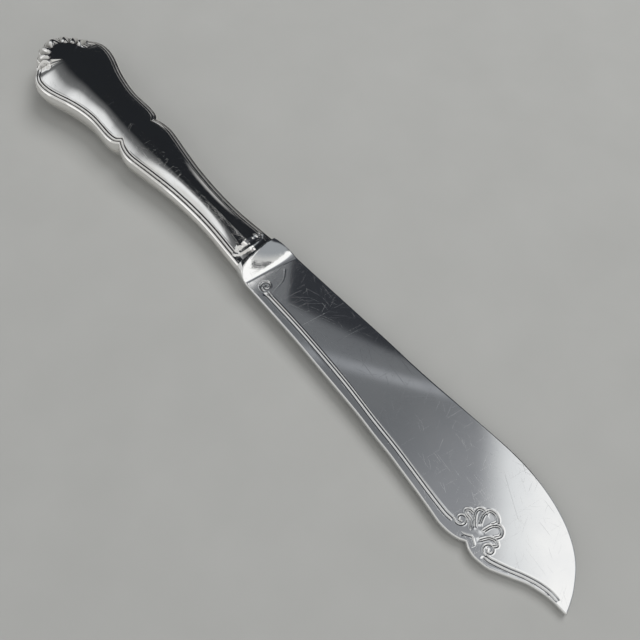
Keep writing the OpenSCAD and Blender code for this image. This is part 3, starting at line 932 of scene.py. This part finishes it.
def silver_solder():
    """Solder filed flush with the seam: a little duller and yellower than the silver."""
    made, tree, shader, place = new_material("silver_solder", metallic=1)
    scratches, smears = metal_masks(tree, SOLDER, place)
    tree.links.new(blend(tree, smears, SOLDER["clean"], SOLDER["smeared"]), shader["Base Color"])
    adds = SOLDER["rough"]
    rough = maths(tree, "MULTIPLY_ADD", scratches, adds["scratches"], adds["clean"])
    tree.links.new(rough, shader["Roughness"])
    tree.links.new(bump(tree, scratches, deep=-0.004), shader["Normal"])
    return made


def filling_cement():
    """The brown cement that fills the handle: matt, with sandy grains and small pits."""
    made, tree, shader, place = new_material("filling_cement", metallic=0)
    grains = noise(tree, place, scale=3.0, detail=4.0)
    pits = mapped(tree, noise(tree, place, scale=1.1), low=0.6, high=0.75)
    brown = blend(tree, grains, CEMENT_DARK, CEMENT_PALE)
    tree.links.new(blend(tree, pits, brown, CEMENT_PIT), shader["Base Color"])
    rough = mapped(tree, grains, low=0.3, high=0.7, to_low=0.75, to_high=0.95)
    tree.links.new(rough, shader["Roughness"])
    tree.links.new(bump(tree, maths(tree, "SUBTRACT", grains, pits), deep=0.15), shader["Normal"])
    return made


# half the floor's side in metres, and its look
FLOOR_HALF = 3
FLOOR_LOW = (0.42, 0.42, 0.405, 1)
FLOOR_HIGH = (0.47, 0.47, 0.455, 1)
FLOOR_ROUGH = 0.75
FLOOR_SHINE = 0.2
# The surround. Its parts are told apart by the level x and y of a direction: a slanting line has
# its height at x = 0 and its slope, and a soft edge the two values between which it runs.
# the dark screen over the handle, with a white strip along it and a window beyond it
SCREEN = (-0.752, -0.8)
SCREEN_END = (-0.17, 0)
SCREEN_SOFT = (-0.12, 0.03)
SCREEN_DEEP = (0, 0.3)
STRIP = (-0.28, -0.16)
WINDOW = (-0.7, -0.8)
LOW_DOWN = (0.24, 0.04)
FAR_SIDE = (0.5, 0.7)
# over the blade: the sides, the wedge, the light line, and the brighter parts towards the tip
OVER_BLADE = (-0.41, -0.385)
FOOT_LIGHT = (0.2, 0.15)
NEAR_SIDE = (0.12, 0)
BACK_SIDE = (0.4, 0.46)
BRIGHTER = (-0.18, -0.02)
WEDGE = (0.462, 0.46)
WEDGE_END = (-0.04, -1)
WEDGE_SOFT = (-0.003, 0.003)
LIGHT_LINE = (0.4675, 0.63)
LIGHT_LINE_SOFT = (0.01, 0.002)
TIP_SIDE = (0.32, -1)
TIP_NEAR = (-0.03, 0.04)
TIP_FAR = (0.03, 0.1)
# over the bolster's slope: grey beside white, and the dark patch
OVER_SLOPE = (0.02, 0.08)
SLOPE_FROM = (0.57, -1)
SLOPE_SOFT = (-0.03, 0.03)
SLOPE_FOOT = (0.46, 0.25)
SLOPE_SIDE = (0.46, -0.46)
UNEVEN = {"scale": 45, "reach": 0.1}
WHITE_SIDE = (0.09, 0.105)
PATCH_X = (0.54, 0.57)
PATCH_LOW = (0.105, 0.118)
PATCH_HIGH = (0.155, 0.13)
# the white strip along the bolster's foot
FOOT_FROM = (-0.42, -0.4)
FOOT_TO = (-0.382, -0.39)
FOOT_NEAR = (0.2, 0.25)
FOOT_FAR = (0.4, 0.34)
# the surround's colours, and the one that the camera sees beyond the floor
SKY_PALE = (0.66, 0.66, 0.65, 1)
SKY_WHITE = (1.1, 1.1, 1.1, 1)
SKY_DIM = (0.15, 0.155, 0.16, 1)
SKY_DARK = (0.016, 0.018, 0.021, 1)
SKY_LOW = (0.5, 0.5, 0.5, 1)
SKY_GREY = (0.17, 0.178, 0.19, 1)
SKY_MIDDLE = (0.3, 0.31, 0.33, 1)
SKY_BRIGHT = (0.86, 0.88, 0.9, 1)
SKY_WEDGE = (0.035, 0.038, 0.045, 1)
SKY_LINE = (0.36, 0.375, 0.4, 1)
SKY_SLOPE = (0.34, 0.36, 0.38, 1)
SKY_SEEN = (0.52, 0.52, 0.51, 1)
# the lamp, in watts and metres
LAMP_SIZE = (0.7, 0.7)
LAMP_POWER = 8.5
LAMP_AT = (-0.1, 0.75, 1)
LAMP_TOWARDS = (0, 0, 0)
# the camera: its lens and sensor in millimetres, the rest in metres
LENS = 46.125
SENSOR = 36
NEAREST = 0.01
CAMERA_AT = (0.0853098, -0.0586248, 0.1784185)
CAMERA_LOOK = (-0.349855, 0.300833, -0.887187)
CAMERA_UP = (-0.662729, 0.589865, 0.461357)


def floor_material():
    """The floor's even pale grey, faintly clouded."""
    made, tree, shader, place = new_material("pale_floor", metallic=0)
    clouds = noise(tree, place, scale=0.05, detail=3.0)
    tree.links.new(blend(tree, clouds, FLOOR_LOW, FLOOR_HIGH), shader["Base Color"])
    shader["Roughness"].default_value = FLOOR_ROUGH
    shader["Specular IOR Level"].default_value = FLOOR_SHINE
    return made


def pale_floor():
    """A wide plain floor at height 0."""
    mesh = bpy.data.meshes.new("floor")
    shape = bmesh.new()
    bmesh.ops.create_grid(shape, x_segments=2, y_segments=2, size=FLOOR_HALF)
    shape.to_mesh(mesh)
    shape.free()
    mesh.materials.append(floor_material())
    made = bpy.data.objects.new("floor", mesh)
    bpy.context.scene.collection.objects.link(made)


def sloping(tree, ray, level, slope):
    """How far a direction lies beyond a slanting line in the surround."""
    return maths(tree, "SUBTRACT", maths(tree, "MULTIPLY_ADD", ray[0], -slope, ray[1]), level)


def both(tree, a, b):
    """A mask that shows where both masks do."""
    return maths(tree, "MULTIPLY", a, b)


def studio_sky():
    """A plain pale surround with dark screens, which the metal shows and the camera doesn't."""
    world = bpy.data.worlds.new("studio")
    bpy.context.scene.world = world
    world.use_nodes = True
    tree = world.node_tree
    direction = add(tree, "TexCoord", {})["Generated"]
    ray = add(tree, "SeparateXYZ", {0: direction})
    # over the handle: pale with a white strip, then a dark screen that is paler low down
    edge = maths(tree, "MAXIMUM", sloping(tree, ray, *SCREEN), sloping(tree, ray, *SCREEN_END))
    left = blend(tree, mapped(tree, ray[1], *WINDOW), SKY_PALE, SKY_WHITE)
    left = blend(tree, mapped(tree, edge, *STRIP), left, SKY_BRIGHT)
    left = blend(tree, mapped(tree, edge, *SCREEN_SOFT), left, SKY_DIM)
    left = blend(tree, mapped(tree, edge, *SCREEN_DEEP), left, SKY_DARK)
    low = both(tree, mapped(tree, ray[2], *LOW_DOWN), mapped(tree, ray[1], *FAR_SIDE))
    left = blend(tree, low, left, SKY_LOW)
    # over the blade: grey, brighter towards the tip, with a dark wedge and a light line
    right = blend(tree, mapped(tree, ray[0], *BRIGHTER), SKY_GREY, SKY_MIDDLE)
    wedge = mapped(tree, sloping(tree, ray, *WEDGE), *WEDGE_SOFT)
    wedge = both(tree, wedge, mapped(tree, sloping(tree, ray, *WEDGE_END), *WEDGE_SOFT))
    right = blend(tree, wedge, right, SKY_WEDGE)
    off = maths(tree, "ABSOLUTE", sloping(tree, ray, *LIGHT_LINE))
    right = blend(tree, mapped(tree, off, *LIGHT_LINE_SOFT), right, SKY_LINE)
    tip = sloping(tree, ray, *TIP_SIDE)
    right = blend(tree, mapped(tree, tip, *TIP_NEAR), right, SKY_BRIGHT)
    right = blend(tree, mapped(tree, tip, *TIP_FAR), right, SKY_WHITE)
    right = blend(tree, mapped(tree, ray[1], *FOOT_LIGHT), right, SKY_WHITE)
    right = blend(tree, mapped(tree, ray[1], *NEAR_SIDE), right, SKY_PALE)
    right = blend(tree, mapped(tree, ray[1], *BACK_SIDE), right, SKY_WEDGE)
    # over the bolster's slope: grey beside white, with an uneven edge and a dark patch
    uneven = noise(tree, direction, scale=UNEVEN["scale"], detail=1.0)
    side = maths(tree, "MULTIPLY_ADD", uneven, UNEVEN["reach"], sloping(tree, ray, *SLOPE_SIDE))
    patch = both(tree, mapped(tree, ray[0], *PATCH_X), mapped(tree, side, *PATCH_LOW))
    patch = both(tree, patch, mapped(tree, side, *PATCH_HIGH))
    slope = blend(tree, mapped(tree, ray[1], *SLOPE_FOOT), SKY_SLOPE, SKY_PALE)
    slope = blend(tree, mapped(tree, side, *WHITE_SIDE), SKY_WHITE, slope)
    slope = blend(tree, patch, slope, SKY_WEDGE)
    above = mapped(tree, sloping(tree, ray, *SLOPE_FROM), *SLOPE_SOFT)
    right = blend(tree, both(tree, above, mapped(tree, ray[0], *OVER_SLOPE)), right, slope)
    over = mapped(tree, ray[0], *OVER_BLADE)
    shown = blend(tree, over, left, right)
    # a narrow white strip that shows along the foot of the bolster
    strip = both(tree, mapped(tree, ray[0], *FOOT_FROM), mapped(tree, ray[0], *FOOT_TO))
    strip = both(tree, strip, mapped(tree, ray[1], *FOOT_NEAR))
    strip = both(tree, strip, mapped(tree, ray[1], *FOOT_FAR))
    shown = blend(tree, strip, shown, SKY_WHITE)
    seen = add(tree, "LightPath", {})["Is Camera Ray"]
    tree.links.new(blend(tree, seen, shown, SKY_SEEN), tree.nodes["Background"].inputs["Color"])
    tree.nodes["Background"].inputs["Strength"].default_value = 1


def studio_lamp():
    """A soft lamp for the floor and its shadow; the metal shows the surround and not the lamp."""
    data = bpy.data.lights.new("soft_box", "AREA")
    data.shape = "RECTANGLE"
    data.size, data.size_y = LAMP_SIZE
    data.energy = LAMP_POWER
    lamp = bpy.data.objects.new("soft_box", data)
    bpy.context.scene.collection.objects.link(lamp)
    lamp.location = LAMP_AT
    way = Vector(LAMP_TOWARDS) - Vector(LAMP_AT)
    lamp.rotation_euler = way.to_track_quat("-Z", "Y").to_euler()
    lamp.visible_glossy = False


def main_camera():
    """The camera of the main view, from its place, the way it looks and the way up in the view."""
    data = bpy.data.cameras.new("camera")
    data.lens = LENS
    data.sensor_width = SENSOR
    data.clip_start = NEAREST
    camera = bpy.data.objects.new("camera", data)
    bpy.context.scene.collection.objects.link(camera)
    back = -Vector(CAMERA_LOOK).normalized()
    right = Vector(CAMERA_UP).cross(back).normalized()
    turn = Matrix((right, back.cross(right), back)).transposed()
    camera.matrix_world = Matrix.Translation(CAMERA_AT) @ turn.to_4x4()
    bpy.context.scene.camera = camera


main_camera()
silver = polished_silver()
handle_half("handle_half_front", 1, "handle_front", silver)
handle_half("handle_half_back", -1, "handle_back", silver)
seam_line(silver_solder())
blade(worn_blade_metal())
bpy.data.objects["handle_filling"].material_slots[0].material = filling_cement()
pale_floor()
studio_sky()
studio_lamp()

scene = bpy.context.scene
scene.view_settings.view_transform = "Standard"
